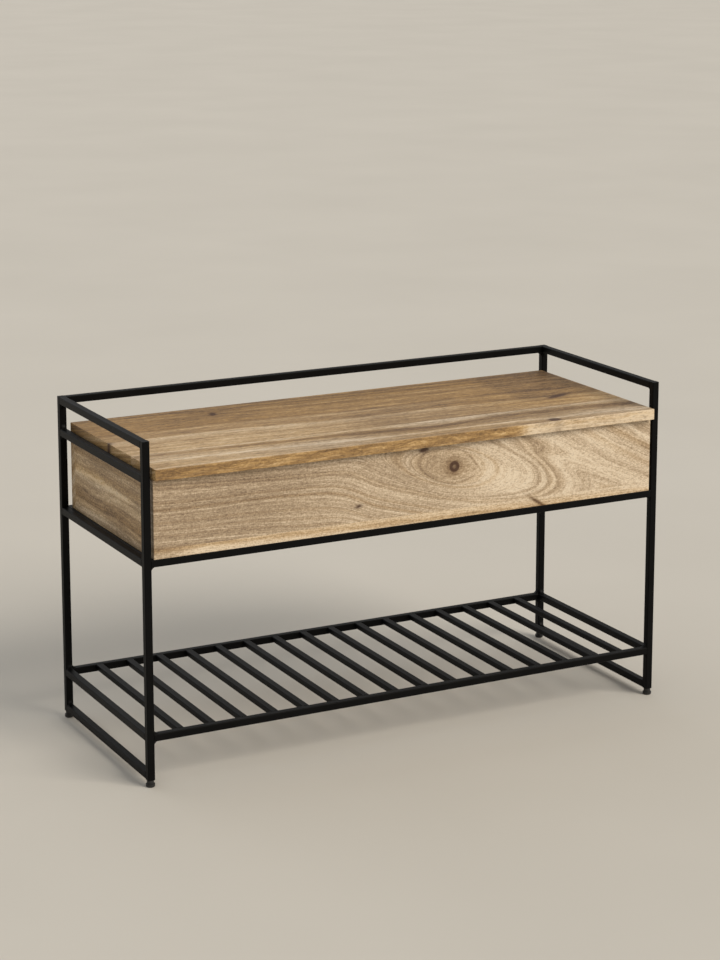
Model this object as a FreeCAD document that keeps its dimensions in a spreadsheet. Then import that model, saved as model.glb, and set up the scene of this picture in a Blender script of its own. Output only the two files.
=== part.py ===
import FreeCAD, Part
import Sketcher
import math
import os
import re

# Entryway bench: a welded frame of square steel tube carries a lidded storage box of solid wood
# above a slatted shoe shelf.  Millimetres; X runs along the bench, Y from front to back, Z up.
# The origin is on the floor at the middle of the whole bench, its lid and feet included.

SIZES = {
    # welded steel frame
    "frame_length": 1000,
    "frame_depth": 390,
    "frame_height": 588,
    "tube_side": 12.7,
    "tube_wall": 1.2,
    "tube_corner": 1.5,
    "shelf_rail_base": 78.5,
    "box_rail_base": 376.5,
    "upper_rail_base": 518,
    "slat_height": 10,
    "bearer_spacing": 560,
    # screw-in levelling feet and the threaded plugs that hold them
    "foot_height": 12,
    "foot_pad_radius": 7.7,
    "foot_pad_height": 5.5,
    "foot_edge_round": 2,
    "foot_neck_radius": 6,
    "stud_radius": 2.9,
    "stud_length": 26,
    "thread_gap": 0.05,
    "plug_length": 24,
    "plug_gap": 0.02,
    # storage box
    "box_height": 133,
    "box_side_gap": 4.3,
    "box_back_gap": 18,
    "panel_thickness": 18,
    "bottom_thickness": 12,
    # lid and the rubber bumpers it rests on
    "lid_thickness": 19,
    "lid_gap": 1.5,
    "lid_overhang": 12,
    "edge_round": 1,
    "bumper_radius": 4,
    "bumper_play": 0.05,
    # hinges, all on one axis behind the box
    "hinge_offset": 3.4,
    "hinge_spacing": 350,
    "leaf_length": 60,
    "leaf_width": 16,
    "leaf_thickness": 1.5,
    "barrel_radius": 3.1,
    "pin_radius": 1.6,
    "pin_gap": 0.05,
    "knuckle_gap": 0.3,
    "mortise_play": 0.1,
    # countersunk screws of the hinges, pan-head screws of the box
    "screw_spacing": 20,
    "screw_head_radius": 2.8,
    "screw_head_height": 1.4,
    "screw_shank_radius": 1.5,
    "screw_length": 13,
    "screw_play": 0.05,
    "fixing_spread": 280,
    "fixing_head_radius": 3.8,
    "fixing_head_height": 2.2,
    "fixing_shank_radius": 2,
    "fixing_length": 22,
}

SLAT_COUNT = 16
KNUCKLE_COUNT = 5
SIDES = {"left": -1, "right": 1}
HINGES = {"left": -1, "centre": 0, "right": 1}

doc = FreeCAD.newDocument("entryway_bench")
sheet = doc.addObject("Spreadsheet::Sheet", "Sizes")
for row, (alias, value) in enumerate(SIZES.items(), start=1):
    sheet.set("A%d" % row, alias)
    sheet.set("B%d" % row, str(value))
    sheet.setAlias("B%d" % row, alias)
doc.recompute()

# Places that several pieces share, as formulas in the sheet's names.
# The lid reaches past the frame in front and the foot pads reach past it behind, so the middle of
# the frame lies MIDDLE behind the middle of the whole bench.
MIDDLE = "(lid_overhang / 2 - foot_pad_radius / 2 + tube_side / 4)"
INNER_X = "(frame_length / 2 - tube_side)"
RAIL_LENGTH = "frame_length - 2 * tube_side"
CROSS_LENGTH = "frame_depth - 2 * tube_side"
FRAME_FRONT = "(%s - frame_depth / 2)" % MIDDLE
INNER_FRONT = "(%s + tube_side)" % FRAME_FRONT
FRONT_LINE = "(%s + tube_side / 2)" % FRAME_FRONT
BACK_LINE = "(%s + frame_depth / 2 - tube_side / 2)" % MIDDLE
SIDE_LINE = "(frame_length / 2 - tube_side / 2)"
BOX_X = "(frame_length / 2 - tube_side - box_side_gap)"
BOX_BACK = "(%s + frame_depth / 2 - box_back_gap)" % MIDDLE
BOX_DEPTH = "(frame_depth - box_back_gap)"
BOX_BASE = "(box_rail_base + tube_side)"
BOX_TOP = "(%s + box_height)" % BOX_BASE
LID_BASE = "(%s + lid_gap)" % BOX_TOP
HINGE_Y = "(%s + hinge_offset)" % BOX_BACK
HINGE_Z = "(%s + lid_gap / 2)" % BOX_TOP
SCREW_Y = "(-hinge_offset - leaf_width / 2)"
FLIP = FreeCAD.Rotation(FreeCAD.Vector(1, 0, 0), 180)
TURNS = {
    "x": FreeCAD.Rotation(FreeCAD.Vector(0, 1, 0), 90),
    "y": FreeCAD.Rotation(FreeCAD.Vector(1, 0, 0), -90),
    "z": FreeCAD.Rotation(),
}

nodes = []


def formula(text):
    """Turn a formula in the sheet's names into one that reads the sheet's cells."""
    return re.sub(r"[a-z_]{2,}", lambda name: "Sizes." + name.group(0), str(text))


def bind(item, sizes):
    """Bind an object's properties to formulas."""
    for name, text in sizes.items():
        item.setExpression(name, formula(text))
    return item


def place(item, x, y, z, turn=None):
    """Put an object at a bound position, turned if a rotation is given."""
    if turn is not None:
        item.Placement = FreeCAD.Placement(FreeCAD.Vector(), turn)
    bind(item, {"Placement.Base.x": x, "Placement.Base.y": y, "Placement.Base.z": z})
    return item


def box(length, width, height, x, y, z):
    """Make a block from its lowest corner."""
    item = doc.addObject("Part::Box", "Block")
    bind(item, {"Length": length, "Width": width, "Height": height})
    return place(item, x, y, z)


def cylinder(radius, height, x, y, z, turn=None):
    """Make a round bar from the centre of its first face."""
    item = doc.addObject("Part::Cylinder", "Round")
    bind(item, {"Radius": radius, "Height": height})
    return place(item, x, y, z, turn)


def cone(low_radius, high_radius, height, x, y, z, turn=None):
    """Make a cone from the centre of its first face."""
    item = doc.addObject("Part::Cone", "Taper")
    bind(item, {"Radius1": low_radius, "Radius2": high_radius, "Height": height})
    return place(item, x, y, z, turn)


def fuse(items):
    """Join overlapping solids into one."""
    item = doc.addObject("Part::MultiFuse", "Joined")
    item.Shapes = items
    item.Refine = True
    return item


def cut(base, tools):
    """Take one or more solids away from another."""
    item = doc.addObject("Part::Cut", "Worked")
    item.Base = base
    item.Tool = tools[0] if len(tools) == 1 else fuse(tools)
    return item


def group(items):
    """Keep several separate solids together as one sub-part."""
    item = doc.addObject("Part::Compound", "Set")
    item.Links = items
    return item


def node(label, item):
    """Name a finished sub-part."""
    item.Label = label
    nodes.append(item)
    return item


def round_edges(item, radius, chosen):
    """Round the edges of an object for which chosen(edge) is true."""
    doc.recompute()
    picked = [i + 1 for i, edge in enumerate(item.Shape.Edges) if chosen(edge)]
    rounded = doc.addObject("Part::Fillet", "Eased")
    rounded.Base = item
    rounded.Edges = [(i, SIZES[radius], SIZES[radius]) for i in picked]
    return rounded


# ---- square tube ------------------------------------------------------------------------------

def rounded_rectangle(sketch, width, height):
    """Draw a rectangle centred on the origin with its four corners rounded, all bound.

    It is drawn first at a size that only has the right shape: w and d are half its sides and r its
    corners' radius.  The constraints then give it its real size.
    """
    w, d, r = 20, 12, 2
    ends = [
        (r - w, -d, w - r, -d),
        (w, r - d, w, d - r),
        (w - r, d, r - w, d),
        (-w, d - r, -w, r - d),
    ]
    centres = [
        (w - r, r - d, -90),
        (w - r, d - r, 0),
        (r - w, d - r, 90),
        (r - w, r - d, 180),
    ]
    up = FreeCAD.Vector(0, 0, 1)
    for x1, y1, x2, y2 in ends:
        line = Part.LineSegment(FreeCAD.Vector(x1, y1, 0), FreeCAD.Vector(x2, y2, 0))
        sketch.addGeometry(line, False)
    for x, y, start in centres:
        circle = Part.Circle(FreeCAD.Vector(x, y, 0), up, r)
        begin = math.radians(start)
        sketch.addGeometry(Part.ArcOfCircle(circle, begin, begin + math.pi / 2), False)
    for i in range(4):
        sketch.addConstraint(Sketcher.Constraint("Tangent", i, 2, 4 + i, 1))
        sketch.addConstraint(Sketcher.Constraint("Tangent", 4 + i, 2, (i + 1) % 4, 1))
        kind = "Horizontal" if i % 2 == 0 else "Vertical"
        sketch.addConstraint(Sketcher.Constraint(kind, i))
    for i in range(5, 8):
        sketch.addConstraint(Sketcher.Constraint("Equal", 4, i))
    sketch.addConstraint(Sketcher.Constraint("Symmetric", 0, 1, 2, 1, -1, 1))
    radius = sketch.addConstraint(Sketcher.Constraint("Radius", 4, r))
    across = sketch.addConstraint(Sketcher.Constraint("DistanceX", 3, 1, 1, 1, 2 * w))
    along = sketch.addConstraint(Sketcher.Constraint("DistanceY", 0, 1, 2, 1, 2 * d))
    sketch.setExpression("Constraints[%d]" % radius, formula("tube_corner"))
    sketch.setExpression("Constraints[%d]" % across, formula(width))
    sketch.setExpression("Constraints[%d]" % along, formula(height))


def profile(name, width, height):
    """Make the outline of a tube's outside as a sketch on the floor plane."""
    sketch = doc.addObject("Sketcher::SketchObject", name)
    rounded_rectangle(sketch, width, height)
    return sketch


square_profile = profile("square_profile", "tube_side", "tube_side")
slat_profile = profile("slat_profile", "tube_side", "slat_height")


def bar(outline, length):
    """Carry a tube's outline straight up for a bound length."""
    item = doc.addObject("Part::Extrusion", "Bar")
    item.Base = outline
    item.DirMode = "Custom"
    item.Dir = FreeCAD.Vector(0, 0, 1)
    item.Solid = True
    return bind(item, {"LengthFwd": length})


def hollow_bar(length, outline=square_profile, height="tube_side"):
    """Make a length of tube standing on the floor plane, open at both ends."""
    across = "tube_side - 2 * tube_wall"
    clear = height + " - 2 * tube_wall"
    hollow = box(across, clear, length, "tube_wall - tube_side / 2", "tube_wall - %s / 2" % height, 0)
    return cut(bar(outline, length), [hollow])


def tube(label, along, length, x, y, z):
    """Make a rail of square tube whose centre line starts at x, y, z."""
    return node(label, place(hollow_bar(length), x, y, z, TURNS[along]))


def leg(label, x, y):
    """Make a leg: a tube closed at the top and open at the bottom for its plug."""
    across = "tube_side - 2 * tube_wall"
    length = "frame_height - foot_height"
    edge = "tube_wall - tube_side / 2"
    hollow = box(across, across, length + " - tube_wall", edge, edge, 0)
    item = cut(bar(square_profile, length), [hollow])
    return node(label, place(item, x, y, "foot_height"))


def side_rail(label, sign, base):
    """Make a rail from the front leg to the back leg of one side."""
    x = "%d * %s" % (sign, SIDE_LINE)
    return tube(label, "y", CROSS_LENGTH, x, INNER_FRONT, base + " + tube_side / 2")


def long_rail(label, line, base):
    """Make a rail along the front or the back, from the left leg to the right leg."""
    return tube(label, "x", RAIL_LENGTH, "-" + INNER_X, line, base + " + tube_side / 2")


for side, sign in SIDES.items():
    for end, line in (("front", FRONT_LINE), ("back", BACK_LINE)):
        leg("leg_%s_%s" % (end, side), "%d * %s" % (sign, SIDE_LINE), line)
    side_rail("floor_rail_" + side, sign, "foot_height")
    side_rail("shelf_rail_" + side, sign, "shelf_rail_base")
    side_rail("box_rail_" + side, sign, "box_rail_base")
    side_rail("lid_side_rail_" + side, sign, "upper_rail_base")
    side_rail("arm_rail_" + side, sign, "frame_height - tube_side")

# Two bearers run under the box from its front rail to its back rail, drilled for its screws.
for side, sign in SIDES.items():
    x = "%d * bearer_spacing / 2" % sign
    bearer = hollow_bar(CROSS_LENGTH)
    place(bearer, x, INNER_FRONT, "box_rail_base + tube_side / 2", TURNS["y"])
    holes = []
    for end in (-1, 1):
        y = "%s + %d * fixing_spread / 2" % (MIDDLE, end)
        holes.append(cylinder("fixing_shank_radius + screw_play", "tube_side", x, y, "box_rail_base"))
    node("box_bearer_" + side, cut(bearer, holes))

# Two more lie against the side rails, under the ends of the box.
end_bearers = []
for sign in SIDES.values():
    x = "%d * (%s - tube_side)" % (sign, SIDE_LINE)
    end_bearers.append(place(hollow_bar(CROSS_LENGTH), x, INNER_FRONT, "box_rail_base + tube_side / 2",
                             TURNS["y"]))
node("box_end_bearers", group(end_bearers))

long_rail("shelf_rail_front", FRONT_LINE, "shelf_rail_base")
long_rail("shelf_rail_back", BACK_LINE, "shelf_rail_base")
long_rail("box_rail_front", FRONT_LINE, "box_rail_base")
long_rail("box_rail_back", BACK_LINE, "box_rail_base")
long_rail("back_top_rail", BACK_LINE, "frame_height - tube_side")

# The slats lie flush with the top of the shelf rails at an even spacing.
SLAT_PITCH = "(frame_length - tube_side) / %d" % (SLAT_COUNT + 1)
for i in range(1, SLAT_COUNT + 1):
    slat = hollow_bar(CROSS_LENGTH, slat_profile, "slat_height")
    x = "%d * %s - %s" % (i, SLAT_PITCH, SIDE_LINE)
    place(slat, x, INNER_FRONT, "shelf_rail_base + tube_side - slat_height / 2", TURNS["y"])
    node("shelf_slat_%02d" % i, slat)


# ---- feet -------------------------------------------------------------------------------------

def foot(label, x, y):
    """Make a levelling foot: a pad with a rounded lower edge, a neck and a threaded stud."""
    pad = cylinder("foot_pad_radius", "foot_pad_height", 0, 0, 0)
    neck = cylinder("foot_neck_radius", "foot_height", 0, 0, 0)
    stud = cylinder("stud_radius", "foot_height + stud_length", 0, 0, 0)
    whole = fuse([pad, neck, stud])
    rim = round_edges(whole, "foot_edge_round",
                      lambda edge: edge.BoundBox.ZMax < 0.01 and edge.BoundBox.XLength > 1)
    return node(label, place(rim, x, y, 0))


plugs = []
for side, sign in SIDES.items():
    for end, line in (("front", FRONT_LINE), ("back", BACK_LINE)):
        centre_x = "%d * %s" % (sign, SIDE_LINE)
        foot("foot_%s_%s" % (end, side), centre_x, line)
        clear = "tube_side - 2 * tube_wall - 2 * plug_gap"
        block = box(clear, clear, "plug_length", "-(%s) / 2" % clear, "-(%s) / 2" % clear, 0)
        bore = cylinder("stud_radius + thread_gap", "plug_length", 0, 0, 0)
        plugs.append(place(cut(block, [bore]), centre_x, line, "foot_height"))
node("leg_plugs", group(plugs))


# ---- screws -----------------------------------------------------------------------------------

def hinge_screw(x, y, z, turn=None, play="0"):
    """Make a countersunk screw with its head's top at x, y, z, pointing down unless turned.

    With play it is that much larger all round, which makes it the tool for the screw's hole.
    """
    shank_radius = "screw_shank_radius + " + play
    head = cone(shank_radius, "screw_head_radius + " + play, "screw_head_height", 0, 0, "-screw_head_height")
    length = "screw_length + " + play
    shank = cylinder(shank_radius, length, 0, 0, "-(%s)" % length)
    return place(fuse([head, shank]), x, y, z, turn)


def screw_holes(z, turn=None):
    """Make the tools for the screw holes of three hinges in the wood under or over their leaves."""
    tools = []
    for place_sign in HINGES.values():
        for step in (-1, 0, 1):
            x = "%d * hinge_spacing + %d * screw_spacing" % (place_sign, step)
            tools.append(hinge_screw(x, HINGE_Y + " + " + SCREW_Y, z, turn, "screw_play"))
    return tools


def mortises(z):
    """Make the tools for the recesses that the hinge leaves lie in."""
    width = "leaf_width + hinge_offset"
    length = "leaf_length + 2 * mortise_play"
    tools = []
    for place_sign in HINGES.values():
        x = "%d * hinge_spacing - leaf_length / 2 - mortise_play" % place_sign
        y = HINGE_Y + " - hinge_offset - leaf_width - mortise_play"
        tools.append(box(length, width, "leaf_thickness + mortise_play", x, y, z))
    return tools


# ---- hinges -----------------------------------------------------------------------------------

def leaf(label, centre_x, plate_z, own, turn):
    """Make one leaf: a flat plate, and the knuckles on the axis that belong to this leaf.

    The plate's lower face is at plate_z above the axis.  own is 0 for the leaf with the outer
    knuckles and 1 for the leaf that fits between them.
    """
    plate = box("leaf_length", "leaf_width - knuckle_gap", "leaf_thickness", "-leaf_length / 2",
                "-hinge_offset - leaf_width", plate_z)
    parts = [plate]
    step = "leaf_length / %d" % KNUCKLE_COUNT
    for i in range(own, KNUCKLE_COUNT, 2):
        start = "-leaf_length / 2 + %d * %s + knuckle_gap / 2" % (i, step)
        length = step + " - knuckle_gap"
        parts.append(box(length, "hinge_offset + 1", "leaf_thickness", start, "-hinge_offset - 1", plate_z))
        parts.append(cylinder("barrel_radius", length, start, 0, 0, TURNS["x"]))
    bore = cylinder("pin_radius + pin_gap", "leaf_length", "-leaf_length / 2", 0, 0, TURNS["x"])
    tools = [bore]
    head_side = plate_z + (" + leaf_thickness" if turn is None else "")
    for step_sign in (-1, 0, 1):
        x = "%d * screw_spacing" % step_sign
        tools.append(hinge_screw(x, SCREW_Y, head_side, turn, "screw_play"))
    return node(label, place(cut(fuse(parts), tools), centre_x, HINGE_Y, HINGE_Z))


pins = []
box_screws = []
lid_screws = []
for hinge, place_sign in HINGES.items():
    centre_x = "%d * hinge_spacing" % place_sign
    leaf("hinge_%s_box_leaf" % hinge, centre_x, "-lid_gap / 2 - leaf_thickness", 0, None)
    leaf("hinge_%s_lid_leaf" % hinge, centre_x, "lid_gap / 2", 1, FLIP)
    pins.append(cylinder("pin_radius", "leaf_length", centre_x + " - leaf_length / 2", HINGE_Y, HINGE_Z,
                         TURNS["x"]))
    for step in (-1, 0, 1):
        x = "%s + %d * screw_spacing" % (centre_x, step)
        box_screws.append(hinge_screw(x, HINGE_Y + " + " + SCREW_Y, BOX_TOP))
        lid_screws.append(hinge_screw(x, HINGE_Y + " + " + SCREW_Y, LID_BASE, FLIP))
node("hinge_pins", group(pins))
node("hinge_screws_box", group(box_screws))
node("hinge_screws_lid", group(lid_screws))


# ---- storage box ------------------------------------------------------------------------------

node("box_front", box("2 * " + BOX_X, "panel_thickness", "box_height", "-" + BOX_X, FRAME_FRONT, BOX_BASE))
back = box("2 * " + BOX_X, "panel_thickness", "box_height", "-" + BOX_X, BOX_BACK + " - panel_thickness",
           BOX_BASE)
back_recesses = mortises(BOX_TOP + " - leaf_thickness - mortise_play")
back_holes = screw_holes(BOX_TOP)
node("box_back", cut(back, back_recesses + back_holes))
SIDE_DEPTH = BOX_DEPTH + " - 2 * panel_thickness"
for side, sign in SIDES.items():
    x = "-" + BOX_X if sign < 0 else BOX_X + " - panel_thickness"
    node("box_" + side, box("panel_thickness", SIDE_DEPTH, "box_height", x,
                            FRAME_FRONT + " + panel_thickness", BOX_BASE))

bottom = box("2 * %s - 2 * panel_thickness" % BOX_X, SIDE_DEPTH, "bottom_thickness",
             "-%s + panel_thickness" % BOX_X, FRAME_FRONT + " + panel_thickness", BOX_BASE)
fixings = []
fixing_holes = []
for sign in SIDES.values():
    for end in (-1, 1):
        x = "%d * bearer_spacing / 2" % sign
        y = "%s + %d * fixing_spread / 2" % (MIDDLE, end)
        head = cylinder("fixing_head_radius", "fixing_head_height", 0, 0, "-fixing_head_height")
        shank = cylinder("fixing_shank_radius", "fixing_length", 0, 0, 0)
        fixings.append(place(fuse([head, shank]), x, y, "box_rail_base"))
        fixing_holes.append(cylinder("fixing_shank_radius + screw_play", "fixing_length + screw_play",
                                     x, y, "box_rail_base"))
node("box_bottom", cut(bottom, fixing_holes))
node("box_fixing_screws", group(fixings))

bumpers = []
for sign in SIDES.values():
    x = "%d * (%s - panel_thickness / 2)" % (sign, BOX_X)
    for y in (FRAME_FRONT + " + panel_thickness / 2", BOX_BACK + " - panel_thickness / 2"):
        bumpers.append(cylinder("bumper_radius", "lid_gap - bumper_play", x, y, BOX_TOP))
node("lid_bumpers", group(bumpers))


# ---- lid --------------------------------------------------------------------------------------

board = box("2 * " + BOX_X, BOX_DEPTH + " + lid_overhang", "lid_thickness", "-" + BOX_X,
            FRAME_FRONT + " - lid_overhang", LID_BASE)
lid_top = SIZES["box_rail_base"] + SIZES["tube_side"] + SIZES["box_height"] + SIZES["lid_gap"]
lid_top += SIZES["lid_thickness"]
eased = round_edges(board, "edge_round", lambda edge: edge.BoundBox.ZMin > lid_top - 0.01)
lid_recesses = mortises(LID_BASE)
node("lid", cut(eased, lid_recesses + screw_holes(LID_BASE, FLIP)))


# ---- check and write --------------------------------------------------------------------------

doc.recompute()
for item in doc.Objects:
    if "Invalid" in item.State or "Error" in item.State:
        raise RuntimeError("%s (%s) did not recompute: %s" % (item.Name, item.Label, item.State))

os.makedirs("parts", exist_ok=True)
for item in nodes:
    if item.Shape.isNull() or not item.Shape.isValid() or not item.Shape.Solids:
        raise RuntimeError(item.Label + " has no valid solid")
    item.Shape.exportStep("parts/%s.step" % item.Label)
    extent = item.Shape.BoundBox
    print("%-24s solids %2d  volume %10.1f  x %8.2f %8.2f  y %8.2f %8.2f  z %8.2f %8.2f" % (
        item.Label, len(item.Shape.Solids), item.Shape.Volume, extent.XMin, extent.XMax,
        extent.YMin, extent.YMax, extent.ZMin, extent.ZMax))
print(len(nodes), "sub-parts")
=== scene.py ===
import math

import bpy
import numpy as np
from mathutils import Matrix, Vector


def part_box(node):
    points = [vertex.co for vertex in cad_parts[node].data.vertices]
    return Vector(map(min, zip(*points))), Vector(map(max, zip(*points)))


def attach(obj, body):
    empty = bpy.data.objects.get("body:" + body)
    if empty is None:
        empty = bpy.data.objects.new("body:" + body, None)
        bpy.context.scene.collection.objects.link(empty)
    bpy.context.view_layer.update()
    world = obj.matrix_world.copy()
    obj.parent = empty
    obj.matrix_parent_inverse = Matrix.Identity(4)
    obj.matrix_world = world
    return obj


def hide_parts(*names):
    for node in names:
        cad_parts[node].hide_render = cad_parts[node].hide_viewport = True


# Looks of an entryway bench: a powder-coated frame of square steel tube that carries a lidded box
# of solid mango wood over a slatted shoe shelf.  Scene units are metres; the wood's figure is
# worked out in millimetres in the same frame.

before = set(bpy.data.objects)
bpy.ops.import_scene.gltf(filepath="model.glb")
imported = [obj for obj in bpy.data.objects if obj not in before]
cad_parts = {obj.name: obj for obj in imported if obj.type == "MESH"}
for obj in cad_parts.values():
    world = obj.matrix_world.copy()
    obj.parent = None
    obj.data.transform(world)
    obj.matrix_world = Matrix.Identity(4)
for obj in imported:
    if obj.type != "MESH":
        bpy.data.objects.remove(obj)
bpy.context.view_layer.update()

MM = 0.001


# ---- small tools ------------------------------------------------------------------------------

def linear(code):
    """Turn an sRGB hex colour into the linear colour that shaders take."""
    values = [int(code[i:i + 2], 16) / 255 for i in (1, 3, 5)]
    return [v / 12.92 if v <= 0.04045 else ((v + 0.055) / 1.055) ** 2.4 for v in values] + [1.0]


def smooth(start, end, value):
    """Rise smoothly from 0 at start to 1 at end; start may be the larger."""
    t = np.clip((value - start) / (end - start), 0.0, 1.0)
    return t * t * (3 - 2 * t)


def spot(u, v, u0, v0, ru, rv, tilt=0.0):
    """A soft spot: a bell over an ellipse of half widths ru, rv about (u0, v0), tilt in degrees."""
    c, s = math.cos(math.radians(tilt)), math.sin(math.radians(tilt))
    p = ((u - u0) * c + (v - v0) * s) / ru
    q = ((v - v0) * c - (u - u0) * s) / rv
    return np.exp(-(p * p + q * q))


def spots(u, v, rows):
    """Soft spots added up: each row is a spot's strength, then its centre, half widths and tilt."""
    return sum(strength * spot(u, v, *shape) for strength, *shape in rows)


def line_mark(value, centre, width):
    """A soft line where value passes through centre."""
    return np.exp(-((value - centre) / width) ** 2)


def waver(u, v, size, seed):
    """A slow irregular wave: three sines of different lengths and directions, about size across."""
    total = 0.0
    for turn, share in ((0.3, 1.0), (1.7, 0.62), (2.9, 0.41)):
        angle = turn + 0.9 * seed
        along = u * math.cos(angle) / (3.2 * size) + v * math.sin(angle) / size
        total = total + share * np.sin(2 * math.pi * along / (0.7 + share) + 2.1 * seed + 5 * turn)
    return total / 2


# ---- camera, floor and light ------------------------------------------------------------------

# The camera stands 1.5 m up, out to the front left of the bench, and looks down on it a little.
CAMERA_DOWN, CAMERA_TURN = 11.0183, 27.5057

camera_data = bpy.data.cameras.new("studio_camera")
camera_data.lens = 90.3185
camera_data.sensor_width = 36
camera_data.shift_y = -0.15
camera_data.clip_end = 200
camera = bpy.data.objects.new("studio_camera", camera_data)
camera.location = (-1.92918, -3.69186, 1.49545)
camera.rotation_euler = (math.radians(90 - CAMERA_DOWN), 0, math.radians(-CAMERA_TURN))
bpy.context.scene.collection.objects.link(camera)
bpy.context.scene.camera = camera
bpy.context.scene.view_settings.view_transform = "Standard"


def soft_light(name, towards, strength, spread, colour):
    """Light the whole scene evenly from one side, by a far lamp that looks spread degrees wide."""
    data = bpy.data.lights.new(name, "SUN")
    data.energy = strength
    data.angle = math.radians(spread)
    data.color = linear(colour)[:3]
    lamp = bpy.data.objects.new(name, data)
    lamp.rotation_euler = type(lamp.location)(towards).to_track_quat("Z", "Y").to_euler()
    bpy.context.scene.collection.objects.link(lamp)


soft_light("key_light", (0.44, -0.70, 0.60), 2.15, 32, "#fff6ea")
soft_light("rear_light", (-0.2, 0.8, 0.55), 0.45, 60, "#f6f8ff")

world = bpy.data.worlds.new("studio_air")
world.use_nodes = True
world.node_tree.nodes["Background"].inputs["Color"].default_value = linear("#f2f0ec")
world.node_tree.nodes["Background"].inputs["Strength"].default_value = 0.5
bpy.context.scene.world = world


# ---- meshes from arrays -----------------------------------------------------------------------

def mesh_piece(name, points, faces, material, sharp=40):
    """Make an object from an array of points in metres and an array of four-cornered faces.

    It is shaded smooth, except over edges that turn by more than sharp degrees.
    """
    mesh = bpy.data.meshes.new(name)
    mesh.vertices.add(len(points))
    mesh.vertices.foreach_set("co", np.asarray(points, np.float32).ravel())
    mesh.loops.add(faces.size)
    mesh.loops.foreach_set("vertex_index", faces.astype(np.int32).ravel())
    mesh.polygons.add(len(faces))
    mesh.polygons.foreach_set("loop_start", np.arange(0, faces.size, 4, dtype=np.int32))
    mesh.update(calc_edges=True)
    mesh.polygons.foreach_set("use_smooth", np.ones(len(faces), bool))
    mesh.set_sharp_from_angle(angle=math.radians(sharp))
    mesh.materials.append(material)
    piece = bpy.data.objects.new(name, mesh)
    bpy.context.scene.collection.objects.link(piece)
    return piece


# ---- materials --------------------------------------------------------------------------------

def add(tree, kind, inputs=None, stops=(), **settings):
    """Add one shader node: its settings, then its inputs, each a value or another node's output.

    stops are a colour ramp's, each a place and a hex colour, with the two ends of the ramp first.
    """
    made = tree.nodes.new(kind)
    for name, value in settings.items():
        setattr(made, name, value)
    for name, value in (inputs or {}).items():
        if isinstance(value, bpy.types.NodeSocket):
            tree.links.new(value, made.inputs[name])
        else:
            made.inputs[name].default_value = value
    for number, (place, code) in enumerate(stops):
        elements = made.color_ramp.elements
        element = elements[number] if number < 2 else elements.new(1.0)
        element.position = place
        element.color = linear(code)
    return made


def new_material(name):
    """Make an empty material and return it with its node tree and its shader."""
    material = bpy.data.materials.new(name)
    material.use_nodes = True
    return material, material.node_tree, material.node_tree.nodes["Principled BSDF"]


def powder_coat(name, colour, roughness):
    """Polyester powder coat on steel: satin near-black with the fine orange peel of cured powder.

    Real orange peel waves are about 1.5 mm long.  They break highlights up very slightly, and the
    coat is a little lighter and duller where the powder lies thick.
    """
    peel_length, patch_width = 1.5 * MM, 45 * MM
    material, tree, shader = new_material(name)
    place = add(tree, "ShaderNodeTexCoord").outputs["Object"]
    peel = add(tree, "ShaderNodeTexNoise", {"Vector": place, "Scale": 1 / peel_length,
                                            "Detail": 1.5})
    cloud = add(tree, "ShaderNodeTexNoise", {"Vector": place, "Scale": 1 / patch_width,
                                             "Detail": 3})
    tint = add(tree, "ShaderNodeValToRGB", {"Fac": cloud.outputs["Fac"]},
               ((0.3, colour[0]), (0.72, colour[1])))
    dull = add(tree, "ShaderNodeMapRange", {"Value": peel.outputs["Fac"], "From Min": 0.3,
                                            "From Max": 0.7, "To Min": roughness - 0.05,
                                            "To Max": roughness + 0.06})
    bump = add(tree, "ShaderNodeBump", {"Height": peel.outputs["Fac"], "Strength": 0.35,
                                        "Distance": 0.05 * MM})
    tree.links.new(tint.outputs["Color"], shader.inputs["Base Color"])
    tree.links.new(dull.outputs[0], shader.inputs["Roughness"])
    tree.links.new(bump.outputs[0], shader.inputs["Normal"])
    shader.inputs["IOR"].default_value = 1.5
    shader.inputs["Specular IOR Level"].default_value = 0.09
    return material


# Mango from its palest to its darkest wood, where it is greyish and where it is golden.
COOL_MANGO = ((0.0, "#e6d5bb"), (1.0, "#4e3827"),
              (0.15, "#d6c2a6"), (0.45, "#ae987c"), (0.8, "#7e6045"))
WARM_MANGO = ((0.0, "#dfc399"), (1.0, "#503823"),
              (0.2, "#cba872"), (0.45, "#aa8653"), (0.65, "#917049"))
KNOT_BROWN, PORE_BROWN = "#3d1c0a", "#5f4731"

# Mean widths in mm of the growth rings and of the broad bands of colour, and how far they wander.
RING_WIDTH, BAND_WIDTH, WANDER = 13, 42, 20.0
# How far a band turns the wood from greyish to golden, and half the width of a line between rings.
BAND_GOLD, RING_LINE = 1.1, 0.022
# A pore begins where its layer falls to PORE_RIM, and shows PORE_SHARE of its colour at PORE_HEART.
PORE_RIM, PORE_HEART, PORE_SHARE = 0.43, 0.3, 0.32


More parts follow.
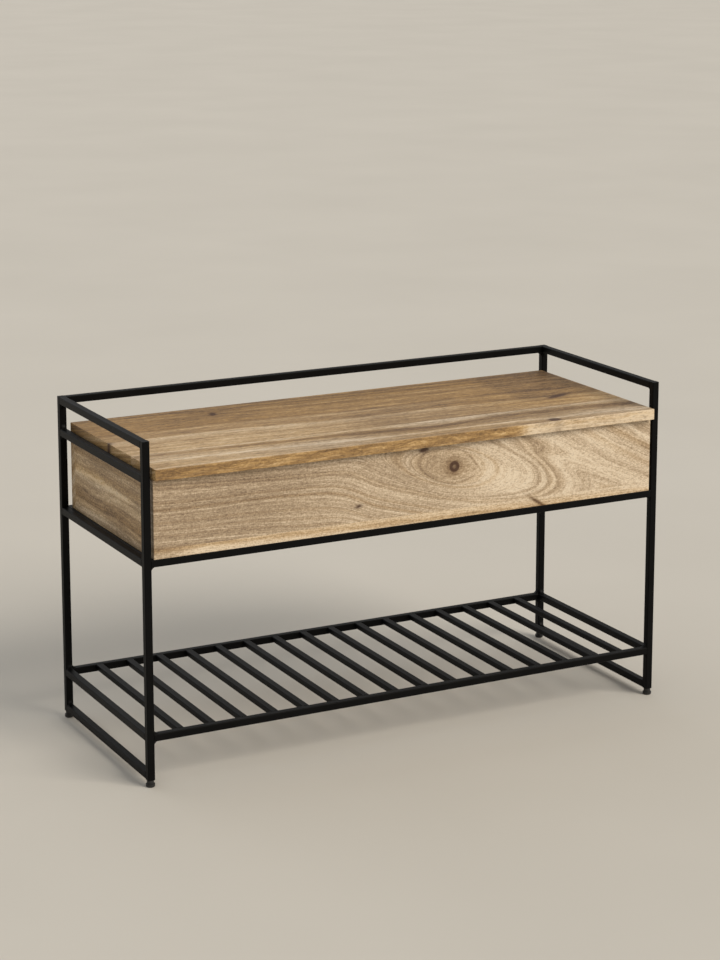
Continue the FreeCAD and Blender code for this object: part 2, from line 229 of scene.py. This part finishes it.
def mango_wood(name, fleck, contrast, speckle, line):
    """Solid mango under a matt clear lacquer, which gives it a low sheen broken by open pores.

    Each board carries two attributes.  "log" is a point's place in the tree it was cut from, in mm:
    along the grain, across the growth rings, and through the board.  "shade" holds how brown the
    wood is there, how dark a knot or gum mark makes it, and how golden it is.

    The rings are an uneven series of bands in the second part of "log", so they bend round the
    knots as it does; line is how much darker the thin lines between them are.  Over them lie
    streaks and fibres, then flecks, whose size in mm along x, y and z is fleck, and the cross
    ripple that gives mango its shimmer.  contrast is the strength of them all, and speckle that of
    the flecks and the ripple beside the rest.  Real pores are 0.3 mm wide; they are drawn 1.3 times
    as large as the flecks, which is several times their real width, so that they show.
    """
    material, tree, shader = new_material(name)
    log = add(tree, "ShaderNodeAttribute", attribute_name="log").outputs["Vector"]
    shade = add(tree, "ShaderNodeAttribute", attribute_name="shade").outputs["Vector"]
    place = add(tree, "ShaderNodeTexCoord").outputs["Object"]
    tone, dark, golden = add(tree, "ShaderNodeSeparateXYZ", {0: shade}).outputs
    ring_place = add(tree, "ShaderNodeSeparateXYZ", {0: log}).outputs[1]

    # The ripple crosses the grain, so it is short where the flecks are long.
    ripple = [2.2 if size > 3 else 4.5 for size in fleck]
    # Each layer: its coordinates, its grains' size, detail, roughness, share of the shade.
    layers = {
        "drift": (log, (70, 12, 40), 3, 0.55, 0.0),
        "streak": (log, (90, 9, 60), 4, 0.62, 0.5),
        "fibre": (log, (26, 5, 10), 4, 0.75, 0.75),
        "fleck": (place, [size * MM for size in fleck], 2, 0.6, speckle),
        "ripple": (place, [size * MM for size in ripple], 2, 0.6, 0.6 * speckle),
        "pore": (place, [1.3 * size * MM for size in fleck], 1, 0.5, 0.0),
    }
    values = {}
    for label, (vector, size, detail, roughness, share) in layers.items():
        scaled = add(tree, "ShaderNodeMapping", {"Vector": vector, "Scale": [1 / s for s in size]})
        made = add(tree, "ShaderNodeTexNoise", {"Vector": scaled.outputs[0], "Scale": 1.0,
                                                "Detail": detail, "Roughness": roughness})
        values[label] = (made.outputs["Fac"], share)
    bent = add(tree, "ShaderNodeMath", {0: values["drift"][0], 1: WANDER, 2: ring_place},
               operation="MULTIPLY_ADD").outputs[0]
    series = {"rings": (RING_WIDTH, 3.4, 0.48), "bands": (BAND_WIDTH, 1.0, 0.55)}
    for label, (width, detail, share) in series.items():
        made = add(tree, "ShaderNodeTexNoise", {"W": bent, "Scale": 1 / width, "Detail": detail,
                                                "Roughness": 0.6}, noise_dimensions="1D")
        values[label] = (made.outputs["Fac"], share)

    # Each layer darkens the tone where it is above its middle value and pales it where below.
    middle = 0.5
    shaded = tone
    for value, share in values.values():
        if share:
            centred = add(tree, "ShaderNodeMath", {0: value, 1: middle},
                          operation="SUBTRACT").outputs[0]
            shaded = add(tree, "ShaderNodeMath", {0: centred, 1: share * contrast, 2: shaded},
                         operation="MULTIPLY_ADD").outputs[0]

    # Thin dark lines part the rings, wherever their band passes through its middle value.
    part = add(tree, "ShaderNodeMath", {0: values["rings"][0], 1: middle},
               operation="SUBTRACT").outputs[0]
    near = add(tree, "ShaderNodeMath", {0: part}, operation="ABSOLUTE").outputs[0]
    lined = add(tree, "ShaderNodeMapRange", {"Value": near, "From Min": RING_LINE, "From Max": 0.0,
                                             "To Min": 0.0, "To Max": line}).outputs[0]
    total = add(tree, "ShaderNodeMath", {0: lined, 1: shaded}, operation="ADD").outputs[0]

    cool = add(tree, "ShaderNodeValToRGB", {"Fac": total}, COOL_MANGO)
    warm = add(tree, "ShaderNodeValToRGB", {"Fac": total}, WARM_MANGO)
    # Some bands of growth are more golden than their neighbours.
    hue = add(tree, "ShaderNodeMath", {0: values["bands"][0], 1: BAND_GOLD, 2: -BAND_GOLD / 2},
              operation="MULTIPLY_ADD").outputs[0]
    gold = add(tree, "ShaderNodeMath", {0: hue, 1: golden}, operation="ADD",
               use_clamp=True).outputs[0]
    body = add(tree, "ShaderNodeMix", {0: gold, 6: cool.outputs[0], 7: warm.outputs[0]},
               data_type="RGBA").outputs[2]
    knotted = add(tree, "ShaderNodeMix", {0: dark, 6: body, 7: linear(KNOT_BROWN)},
                  data_type="RGBA").outputs[2]
    open_pore = add(tree, "ShaderNodeMapRange", {"Value": values["pore"][0], "From Min": PORE_RIM,
                                                 "From Max": PORE_HEART,
                                                 "To Max": PORE_SHARE}).outputs[0]
    pored = add(tree, "ShaderNodeMix", {0: open_pore, 6: knotted, 7: linear(PORE_BROWN)},
                data_type="RGBA").outputs[2]
    tree.links.new(pored, shader.inputs["Base Color"])

    # The lacquer is duller over dark flecks, and sinks into the open pores.
    fleck_value = values["fleck"][0]
    sheen = add(tree, "ShaderNodeMapRange", {"Value": fleck_value, "From Min": 0.3, "From Max": 0.7,
                                             "To Min": 0.5, "To Max": 0.62}).outputs[0]
    tree.links.new(sheen, shader.inputs["Roughness"])
    pore_depth = 1.2
    height = add(tree, "ShaderNodeMath", {0: open_pore, 1: -pore_depth, 2: fleck_value},
                 operation="MULTIPLY_ADD").outputs[0]
    bump = add(tree, "ShaderNodeBump", {"Height": height, "Strength": 0.5, "Distance": 0.15 * MM})
    tree.links.new(bump.outputs[0], shader.inputs["Normal"])
    shader.inputs["IOR"].default_value = 1.46
    return material


def moulded_plastic(name, colour, roughness, grain):
    """Moulded nylon or rubber: one dull dark colour with the faint grain of its mould.

    grain is the size of that grain in mm.
    """
    material, tree, shader = new_material(name)
    place = add(tree, "ShaderNodeTexCoord").outputs["Object"]
    skin = add(tree, "ShaderNodeTexNoise", {"Vector": place, "Scale": 1 / (grain * MM),
                                            "Detail": 2})
    tint = add(tree, "ShaderNodeValToRGB", {"Fac": skin.outputs["Fac"]},
               ((0.3, colour[0]), (0.7, colour[1])))
    bump = add(tree, "ShaderNodeBump", {"Height": skin.outputs["Fac"], "Strength": 0.4,
                                        "Distance": 0.04 * MM})
    tree.links.new(tint.outputs["Color"], shader.inputs["Base Color"])
    tree.links.new(bump.outputs[0], shader.inputs["Normal"])
    shader.inputs["Roughness"].default_value = roughness
    return material


def plated_steel(name, colour, roughness):
    """Zinc-plated pressed steel: a soft grey metal with fine rolling lines along the leaf."""
    line_length, line_width = 9 * MM, 0.4 * MM
    material, tree, shader = new_material(name)
    place = add(tree, "ShaderNodeTexCoord").outputs["Object"]
    lines = add(tree, "ShaderNodeMapping", {"Vector": place, "Scale": [1 / line_length,
                                                                       1 / line_width,
                                                                       1 / line_width]})
    drawn = add(tree, "ShaderNodeTexNoise", {"Vector": lines.outputs[0], "Scale": 1.0, "Detail": 2})
    tint = add(tree, "ShaderNodeValToRGB", {"Fac": drawn.outputs["Fac"]},
               ((0.3, colour[0]), (0.7, colour[1])))
    dull = add(tree, "ShaderNodeMapRange", {"Value": drawn.outputs["Fac"],
                                            "To Min": roughness - 0.08,
                                            "To Max": roughness + 0.1})
    tree.links.new(tint.outputs["Color"], shader.inputs["Base Color"])
    tree.links.new(dull.outputs[0], shader.inputs["Roughness"])
    shader.inputs["Metallic"].default_value = 1.0
    return material


frame_coat = powder_coat("satin black powder coat", ("#060606", "#0b0b0b"), 0.46)
# The flecks are longest along the grain: x on the long boards and the lid, y on the end boards.
box_mango = mango_wood("matt lacquered mango long boards", (4.2, 1.7, 1.5), 0.9, 0.95, 0.17)
end_mango = mango_wood("matt lacquered mango end boards", (1.7, 4.0, 2.2), 1.2, 0.8, 0.05)
lid_mango = mango_wood("matt lacquered mango lid", (8, 3.5, 1.7), 1.25, 0.4, 0.1)
foot_nylon = moulded_plastic("moulded black nylon", ("#151515", "#1d1d1d"), 0.5, 0.8)
bumper_rubber = moulded_plastic("soft black rubber", ("#101010", "#191919"), 0.8, 0.5)
hinge_zinc = plated_steel("zinc plated hinge steel", ("#8d8d8a", "#b4b3ae"), 0.36)
screw_zinc = plated_steel("zinc plated screw steel", ("#9a9994", "#bdbcb6"), 0.3)

FRAME_STARTS = ("leg_front", "leg_back", "floor_rail", "shelf_", "box_rail", "lid_side_rail",
                "arm_rail", "back_top_rail", "box_bearer", "box_end_bearers")
for name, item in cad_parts.items():
    if name.startswith(FRAME_STARTS):
        finish = frame_coat
    elif name.startswith("foot_") or name == "leg_plugs":
        finish = foot_nylon
    elif name == "lid_bumpers":
        finish = bumper_rubber
    elif "screws" in name:
        finish = screw_zinc
    elif name.startswith("hinge_"):
        finish = hinge_zinc
    else:
        finish = box_mango
    item.data.materials.clear()
    item.data.materials.append(finish)


# ---- boards -----------------------------------------------------------------------------------

def spaced(low, high, pitch, ease_low, ease_high, marks=()):
    """Places from low to high about pitch apart, with more in eased edges and one at each mark."""
    steps = np.array([0.0, 0.1, 0.35, 0.65, 1.0])
    edges = [low + ease_low * steps, high - ease_high * steps, np.asarray(marks, float)]
    fixed = np.unique(np.round(np.concatenate(edges), 4))
    fixed = fixed[(fixed >= low) & (fixed <= high)]
    even = np.linspace(low, high, max(2, round((high - low) / pitch) + 1))
    gap = np.abs(even[:, None] - fixed[None, :]).min(axis=1)
    return np.unique(np.concatenate([fixed, even[gap > 0.3 * pitch]]))


def board(name, node, material, pitch, ease, figure, seams=(), knots=(), recesses=(),
          recess_depth=0.0):
    """Make one board over a CAD node as the shell of a box lattice with eased edges.

    Every lattice point near an edge is drawn in to the box less its easing, then pushed back out
    along the same line by the easing, which turns the square edge into a round one.  ease is the
    easing of the sides, of the lower face's edges and of the upper face's edges, in mm.  Points of
    the face with a recess that lie inside it move into the wood by recess_depth, down if positive.
    Lattice lines are about pitch mm apart.  They stand in pairs at seams and at the recesses'
    walls, and close together over knots.  figure(x, y, z) gives, for points in mm, the two
    attributes that the wood's material reads.
    """
    low, high = [np.array(corner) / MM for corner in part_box(node)]
    side, lower, upper = ease
    seam_half, wall_half, knot_pitch = 0.1, 0.02, 1.2
    marks = {"x": [], "y": [], "z": []}
    for axis, place in seams:
        marks[axis] += [place - seam_half, place + seam_half]
    for axis, place, reach in knots:
        marks[axis] += list(np.arange(place - reach, place + reach, knot_pitch))
    for x0, x1, y0 in recesses:
        marks["x"] += [x0 - wall_half, x0 + wall_half, x1 - wall_half, x1 + wall_half]
        marks["y"] += [y0 - wall_half, y0 + wall_half]
        marks["z"] += [low[2] + recess_depth if recess_depth < 0 else high[2] - recess_depth]
    xs = spaced(low[0], high[0], pitch, side, side, marks["x"])
    ys = spaced(low[1], high[1], pitch, side, side, marks["y"])
    inner = [mark for mark in marks["z"] if low[2] < mark < high[2]]
    zs = spaced(low[2], high[2], pitch, lower, upper, inner)
    grid = np.indices((len(xs), len(ys), len(zs)))
    top = np.array([len(xs), len(ys), len(zs)]).reshape(3, 1, 1, 1) - 1
    shell = ((grid == 0) | (grid == top)).any(axis=0)
    number = np.full(shell.shape, -1)
    number[shell] = np.arange(shell.sum())
    i, j, k = (axis[shell] for axis in grid)
    flat = np.stack([xs[i], ys[j], zs[k]], axis=1)

    ease_low = np.array([side, side, lower])
    ease_high = np.array([side, side, upper])
    core = np.clip(flat, low + ease_low, high - ease_high)
    out = flat - core
    reach = np.where(out < 0, ease_low, ease_high)
    depth = np.max(np.abs(out) / np.maximum(reach, 1e-9), axis=1)
    length = np.maximum(np.linalg.norm(out, axis=1), 1e-9)
    radius = np.where(out != 0, reach, 0).max(axis=1) * depth
    points = core + out / length[:, None] * radius[:, None]

    face = k == (len(zs) - 1 if recess_depth > 0 else 0)
    for x0, x1, y0 in recesses:
        inside = face & (xs[i] > x0) & (xs[i] < x1) & (ys[j] > y0)
        points[inside] = flat[inside] - np.array([0, 0, recess_depth])

    quads = []
    for axis in range(3):
        for end in (0, -1):
            sheet = np.take(number, end, axis=axis)
            corners = (sheet[:-1, :-1], sheet[1:, :-1], sheet[1:, 1:], sheet[:-1, 1:])
            ring = np.stack([c.ravel() for c in corners], axis=1)
            outward = (axis == 1) == (end == 0)
            quads.append(ring if outward else ring[:, ::-1])
    piece = mesh_piece(name, points * MM, np.concatenate(quads), material)
    log, shade = figure(*points.T)
    for label, values in (("log", log), ("shade", shade)):
        attribute = piece.data.attributes.new(label, "FLOAT_VECTOR", "POINT")
        attribute.data.foreach_set("vector", np.stack(values, axis=1).astype(np.float32).ravel())
    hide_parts(node)
    return piece


def leaf_recesses(kind):
    """The recesses of three hinge leaves in mm: left end, right end and front edge of each."""
    clearance = 0.1
    found = []
    for hinge in ("left", "centre", "right"):
        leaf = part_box("hinge_%s_%s_leaf" % (hinge, kind))
        low, high = [np.array(corner) / MM for corner in leaf]
        found.append((low[0] - clearance, high[0] + clearance, low[1] - clearance))
    return found


# Each figure below is worked out from a point's x, y and z in mm.  "growth" is its place across the
# rings, "tone" how brown it is, "mark" how dark a knot or gum mark makes it, "golden" how golden.

FRONT_GLUE_LINE = 405.5
KNOT = (78.0, 481.0)
FRONT_TONES = ((0.10, -230, 500, 150, 16, -4), (0.12, -40, 478, 90, 15, -28),
               (0.07, 200, 470, 60, 14, -14), (-0.17, 160, 455, 80, 26, -14),
               (0.20, 470, 512, 40, 14), (-0.12, 385, 490, 50, 22, -28))
FRONT_MARKS = ((1.1, -108, 433, 7, 3, 10), (1.7, 18, 517, 9, 3.6, 8), (0.35, 473, 470, 2.5, 2.5))


def front_figure(x, y, z):
    """The front board: straight grain on the left that swings down and round a knot in long loops.

    The loops are ellipses about the knot, turned 14 degrees down to the right and drawn out along
    that line.  On the left they pass smoothly into near-level grain, and above on the right into
    grain that runs down at 28 degrees.  A narrow strip is glued on along the bottom edge.
    """
    # 0.970 and 0.242 are the cosine and sine of 14 degrees, 0.883 and 0.469 those of 28.
    dx, dz = x - KNOT[0], z - KNOT[1]
    u = 0.970 * dx - 0.242 * dz
    v = 0.242 * dx + 0.970 * dz
    near = np.hypot(u, 2.5 * v)
    tall = 1.8 + 2.1 * smooth(50, 150, near) - 1.2 * smooth(30, 70, v) * smooth(50, 150, near)
    long = np.where(u > 0, 1.0, 0.72)
    loops = np.hypot(long * u, tall * v)
    slant = 0.469 * dx + 0.883 * dz
    loops = loops - 0.6 * np.minimum(loops, 60)
    growth = loops + (182 + 1.5 * (slant - 95) - loops) * smooth(78, 112, slant)
    level = 146 + 3.8 * (499 - 0.05 * (x + 108) - z + 6 * waver(x, z, 90, 1))
    growth = growth + (level - growth) * smooth(-70, -190, x)
    growth = growth + 7 * waver(x, z, 60, 2)

    # The board pales from left to right: partly its own paler wood, partly painted light that
    # brightens the right end.
    pale = smooth(20, 210, x + 0.4 * (z - 455))
    tone = 0.49 - 0.18 * smooth(-340, -90, x) - 0.17 * pale + spots(x, z, FRONT_TONES)
    dark_rings = line_mark(growth, 169, 5) + line_mark(growth, 186, 6)
    tone = tone + 0.20 * line_mark(growth, 146, 8) * smooth(-60, 120, x)
    tone = tone + 0.18 * dark_rings * smooth(100, 230, x)
    # An eye, round on the left and pointed on the right, is drawn about the knot.
    eye_size = 54
    pointed = 1.75 * np.abs(v) + np.abs(u) ** 1.7 / eye_size ** 0.7
    eye = np.where(u > 0, pointed, np.hypot(0.76 * u, 1.75 * v))
    tone = tone + 0.30 * line_mark(eye, eye_size, 3.5) + 0.12 * smooth(eye_size, 20, eye)
    grey_bands = (line_mark(growth, 232, 16) + 0.8 * line_mark(growth, 292, 20)
                  + 0.5 * line_mark(growth, 350, 14))
    tone = tone + 0.13 * grey_bands * smooth(250, 330, x)
    # The knot has a faint halo, a dark ring and a paler heart.
    ring = np.hypot(dx, dz)
    mark = 0.32 * smooth(24, 12, ring) + 0.75 * smooth(11.5, 8, ring) - 0.45 * smooth(5.5, 2, ring)
    mark = mark + spots(x, z, FRONT_MARKS)
    gum = spot(x, z, 247, 397.5, 19, 2.8, -32)

    strip = z < FRONT_GLUE_LINE
    strip_knot = np.hypot(x - 285, 2 * (z - 385))
    strip_tone = 0.10 + 0.26 * smooth(-390, -460, x) + 0.12 * line_mark(strip_knot, 30, 4)
    growth = np.where(strip, 900 + 2.2 * z + 0.05 * x, growth)
    tone = np.where(strip, strip_tone, tone)
    mark = np.where(strip, 0.0, mark) + 1.2 * gum
    golden = np.where(strip, 0.2, -0.03 + 0.04 * smooth(-250, -60, x) - 0.06 * pale) + 0.9 * gum
    golden = golden + 0.25 * smooth(26, 10, ring)
    return (x, growth, y), (tone, np.clip(mark, 0, 0.93), np.clip(golden, 0, 1))


LID_GLUE_LINE = -97.0
LID_TONES = ((0.14, 340, -20, 95, 42), (0.12, -236, 120, 70, 38), (0.12, 5, -18, 60, 9, -8),
             (0.07, -320, 20, 80, 8, -8), (0.08, 90, -74, 110, 5), (-0.07, -300, -60, 130, 30))
LID_FRONT_TONES = ((0.10, -90, -118, 35, 14, -20), (0.14, 40, -140, 50, 16, -10),
                   (-0.08, -380, -150, 90, 25), (0.10, 455, -143, 16, 8))
LID_MARKS = ((2.2, -236, 126, 5, 10, -20), (2.0, 386, -29, 20, 5.5, 20),
             (0.3, 388, -28, 34, 10, 20), (2.2, 280, -190, 10, 8), (0.35, 454, -143, 9, 4, 10),
             (1.0, -483, 1, 7, 7))


def lid_figure(x, y, z):
    """The lid: straight-grained boards glued side by side, browner behind and along the front.

    The grain runs along the bench in slow waves and bends round two small knots.
    """
    bend = 26 * spot(x, y, 370, -30, 120, 60) * np.tanh((y + 30) / 22)
    bend = bend + 16 * spot(x, y, -236, 126, 70, 35) * np.tanh((y - 126) / 10)
    bend = bend + 14 * spot(x, y, 60, -135, 90, 26) + 10 * spot(x, y, 279, -186, 40, 20)
    growth = 1.1 * (y + 8 * waver(x, y, 110, 3) + bend + 0.03 * x)
    tone = 0.60 - 0.06 * smooth(120, 70, y) - 0.18 * smooth(75, 15, y) - 0.05 * smooth(0, -85, y)
    tone = tone + 0.13 * line_mark(y, LID_GLUE_LINE + 3, 7) * smooth(-320, 60, x)
    tone = tone + 0.16 * smooth(290, 340, x) * smooth(-75, -20, y)
    tone = tone + 0.06 * smooth(380, 410, x) * smooth(20, 60, y) + spots(x, y, LID_TONES)
    tone = tone + 0.16 * smooth(-180, 20, x) * smooth(60, 20, y)
    tone = tone - 0.15 * smooth(180, 330, x) * smooth(40, 0, y)
    golden = 1.0 - 0.36 * smooth(80, 20, y) + 0.6 * spot(x, y, 350, -10, 150, 70)

    front = y < LID_GLUE_LINE
    front_tone = 0.30 + 0.18 * smooth(-250, 0, x) + 0.08 * waver(x, y, 60, 5)
    front_tone = front_tone + spots(x, y, LID_FRONT_TONES)
    tone = np.where(front, front_tone, tone)
    golden = np.where(front, 0.5 + 0.3 * waver(x, y, 80, 4), golden)
    growth = np.where(front, growth + 700, growth)

    # The last millimetre before the front edge, then before either end, turns to that face's wood.
    edge = smooth(-200.6, -201.6, y)
    light = smooth(185, 235, x)
    edge_tone = 0.42 - 0.44 * light + 0.12 * smooth(-400, -483, x) + 0.10 * waver(x, z, 40, 6)
    edge_tone = edge_tone + (0.18 - 0.1 * light) * waver(x, 2 * z, 13, 13)
    # The 0.12 step darkens the front edge towards the lid's underside: painted shade, as of the
    # shadow line under the lid.
    tone = tone + (edge_tone + 0.12 * smooth(533, 525, z) - tone) * edge
    golden = golden + (0.95 - 0.75 * light - golden) * edge
    growth = growth + (3 * z + 12 * waver(x, z, 18, 12) - growth) * edge
    end = smooth(482.2, 482.9, np.abs(x))
    growth = growth + (0.4 * growth + 2 * z - growth) * end
    tone = tone + 0.02 * end
    golden = golden + 0.5 * end

    mark = spots(x, y, LID_MARKS) + 0.4 * spot(x, z, 250, 541, 12, 4) * edge
    along = x * (1 + 2 * np.maximum(edge, end))
    return (along, growth, 1.5 * z), (tone, np.clip(mark, 0, 0.9), np.clip(golden, 0, 1))


def side_figure(x, y, z):
    """An end board: grain from front to back, with a golden streak and a strong ripple."""
    growth = 1.5 * (z + 5 * waver(y, z, 70, 7) + 10 * spot(y, z, 60, 440, 60, 30))
    streak = line_mark(z + 3.5 * waver(y, z, 45, 8), 464, 5) * smooth(-130, -70, y)
    tone = 0.48 - 0.40 * streak + 0.10 * waver(y, z, 35, 9)
    tone = tone + 0.14 * smooth(425, 395, z) * smooth(-60, 60, -y)
    return (y, growth, x), (tone, 0 * x, 0.5 + 0.4 * streak)


def plain_figure(x, y, z):
    """A board that shows little: straight grain along the bench in slow waves."""
    growth = 1.8 * (z + y + 9 * waver(x, z + y, 100, 10))
    return (x, growth, y - z), (0.42 + 0.1 * waver(x, z + y, 140, 11), 0 * x, 0.3 + 0 * x)


# Edges of the box are eased by EASED, edges that butt against another board by BUTTED, and the
# lid's by LID_EASED.  A face with recesses keeps square edges.  All are in mm.
EASED, BUTTED, LID_EASED, SQUARE = 0.8, 0.2, 1.0, 0
RECESS = 1.6
KNOT_REACH = 14
boards = [
    board("front_board", "box_front", box_mango, 2.5, (EASED, EASED, EASED), front_figure,
          [("z", FRONT_GLUE_LINE)], [("x", KNOT[0], KNOT_REACH), ("z", KNOT[1], KNOT_REACH)]),
    board("left_board", "box_left", end_mango, 3, (BUTTED, BUTTED, EASED), side_figure),
    board("right_board", "box_right", end_mango, 3, (BUTTED, BUTTED, EASED), side_figure),
    board("back_board", "box_back", box_mango, 5, (EASED, EASED, SQUARE), plain_figure,
          recesses=leaf_recesses("box"), recess_depth=RECESS),
    board("bottom_board", "box_bottom", box_mango, 8, (BUTTED, BUTTED, BUTTED), plain_figure),
    board("lid_board", "lid", lid_mango, 3.2, (LID_EASED, SQUARE, LID_EASED), lid_figure,
          [("y", LID_GLUE_LINE)], recesses=leaf_recesses("lid"), recess_depth=-RECESS),
]
for piece in boards[:-1]:
    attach(piece, "frame")
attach(boards[-1], "lid")


# ---- welds ------------------------------------------------------------------------------------

def weld_fillets(name, corners, size, width):
    """Make every inside-corner weld of the frame as one piece.

    A weld's cross-section is a concave quarter circle between rail and leg, reaching size along
    both, with as many points again behind it, sunk in the steel.  It is carried over width across
    the tube in nine steps, smaller towards its two ends and with a slight ripple, as a bead of weld
    has under its coat.  Each corner gives the weld's place and its directions along the rail, away
    from the rail, and across the tube.
    """
    sunk_size, sunk_depth = 0.35, 0.2
    taper, ripple, waves = 0.3, 0.05, 1.6
    place, along, away, across = (np.array(part, float) for part in zip(*corners))
    angle = np.linspace(0, math.pi / 2, 8)
    arc = np.stack([1 - np.sin(angle), 1 - np.cos(angle)], axis=1)
    loop = np.concatenate([arc, sunk_size * arc[::-1] - sunk_depth])
    step = np.linspace(-1, 1, 9)
    scale = size * (1 - taper * step ** 4) * (1 + ripple * np.cos(2 * waves * math.pi * step))
    section = loop[None, :, :] * scale[:, None, None]
    points = (place[:, None, None, :]
              + section[None, :, :, :1] * along[:, None, None, :]
              + section[None, :, :, 1:] * away[:, None, None, :]
              + (step * width / 2)[None, :, None, None] * across[:, None, None, :])
    stations, around = len(step), len(loop)
    number = np.arange(stations * around).reshape(stations, around)
    onward = np.roll(number, -1, axis=1)
    walls = np.stack([number[:-1], onward[:-1], onward[1:], number[1:]], axis=-1).reshape(-1, 4)
    # Each end is closed by a strip of faces between the arc and the sunk points behind it.
    a = np.arange(len(arc) - 1)
    strip = np.stack([a, around - 1 - a, around - 2 - a, a + 1], axis=1)
    faces = np.concatenate([walls, number[0][strip], number[-1][strip[:, ::-1]]])
    handed = np.einsum("ni,ni->n", np.cross(along, away), across) > 0
    every = faces[None] + (np.arange(len(place)) * stations * around)[:, None, None]
    every[~handed] = every[~handed][:, :, ::-1]
    return mesh_piece(name, points.reshape(-1, 3), every.reshape(-1, 4), frame_coat, 60)


def corner_list():
    """Find the inside corners between rails and legs from the CAD boxes of the rails.

    Both ends of a rail have a weld under it, -1, on top of it, 1, or both.
    """
    below, above, both = (-1,), (1,), (-1, 1)
    ends, faces = ("left", "right"), ("front", "back")
    # Each row: the rails' name, what completes it, the axis they run along, where the welds lie.
    rails = (("floor_rail_%s", ends, 1, above), ("shelf_rail_%s", ends, 1, both),
             ("box_rail_%s", ends, 1, below), ("lid_side_rail_%s", ends, 1, both),
             ("arm_rail_%s", ends, 1, below), ("shelf_rail_%s", faces, 0, both),
             ("box_rail_%s", faces, 0, below), ("%s_top_rail", ("back",), 0, below))
    found = []
    for label, places, along, sides in rails:
        for where in places:
            low, high = [np.array(corner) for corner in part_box(label % where)]
            for side in sides:
                for end in (-1, 1):
                    place = (low + high) / 2
                    place[2] = high[2] if side > 0 else low[2]
                    place[along] = high[along] if end > 0 else low[along]
                    run, cross = np.zeros(3), np.zeros(3)
                    run[along] = -end
                    cross[1 - along] = 1
                    found.append((place, run, np.array([0, 0, float(side)]), cross))
    return found


WELD_SIZE, WELD_WIDTH = 9.5 * MM, 9.4 * MM
welds = weld_fillets("weld_fillets", corner_list(), WELD_SIZE, WELD_WIDTH)
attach(welds, "frame")


# ---- floor ------------------------------------------------------------------------------------

# A matt painted floor: pale, with faint clouds in its colour and no shine.
floor_paint, tree, shader = new_material("pale studio floor")
place = add(tree, "ShaderNodeTexCoord").outputs["Object"]
cloud = add(tree, "ShaderNodeTexNoise", {"Vector": place, "Scale": 1.4, "Detail": 3})
tint = add(tree, "ShaderNodeValToRGB", {"Fac": cloud.outputs["Fac"]},
           ((0.3, "#ccc8bf"), (0.7, "#d0ccc3")))
tree.links.new(tint.outputs["Color"], shader.inputs["Base Color"])
shader.inputs["Roughness"].default_value = 0.75
FLOOR_REACH = (-40.0, 40.0)
floor_points = np.array([(x, y, 0.0) for y in FLOOR_REACH for x in FLOOR_REACH])
floor = mesh_piece("studio_floor", floor_points, np.array([[0, 1, 3, 2]]), floor_paint)
